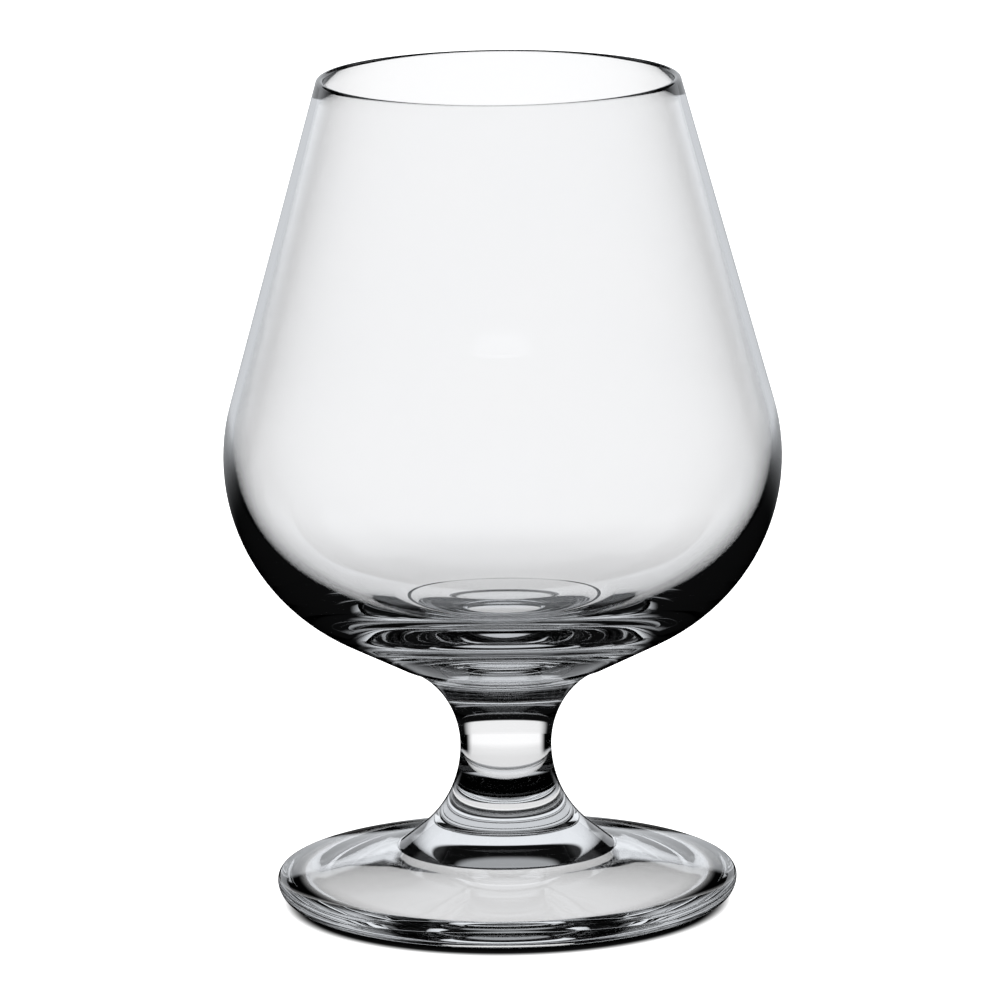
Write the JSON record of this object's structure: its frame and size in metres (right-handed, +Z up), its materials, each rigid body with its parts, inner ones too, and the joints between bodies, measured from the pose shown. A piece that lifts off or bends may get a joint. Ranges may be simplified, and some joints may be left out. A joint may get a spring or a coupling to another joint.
{
  "type": "brandy snifter",
  "caption": "Clear brandy snifter: a wide bowl that narrows to its rim, on a short waisted stem and a round foot.",
  "frame": {"origin": "centre of the foot's standing ring, on the table", "axes": "+Z up along the axis of the glass, from the foot to the rim; the glass is round, so +X and +Y are any two square directions"},
  "size_m": [0.084, 0.084, 0.1255],
  "materials": {
    "glass": "clear, fire-polished"
  },
  "bodies": {
    "root": {"bowl": "glass", "stem": "glass", "foot": "glass"}
  },
  "joints": []
}
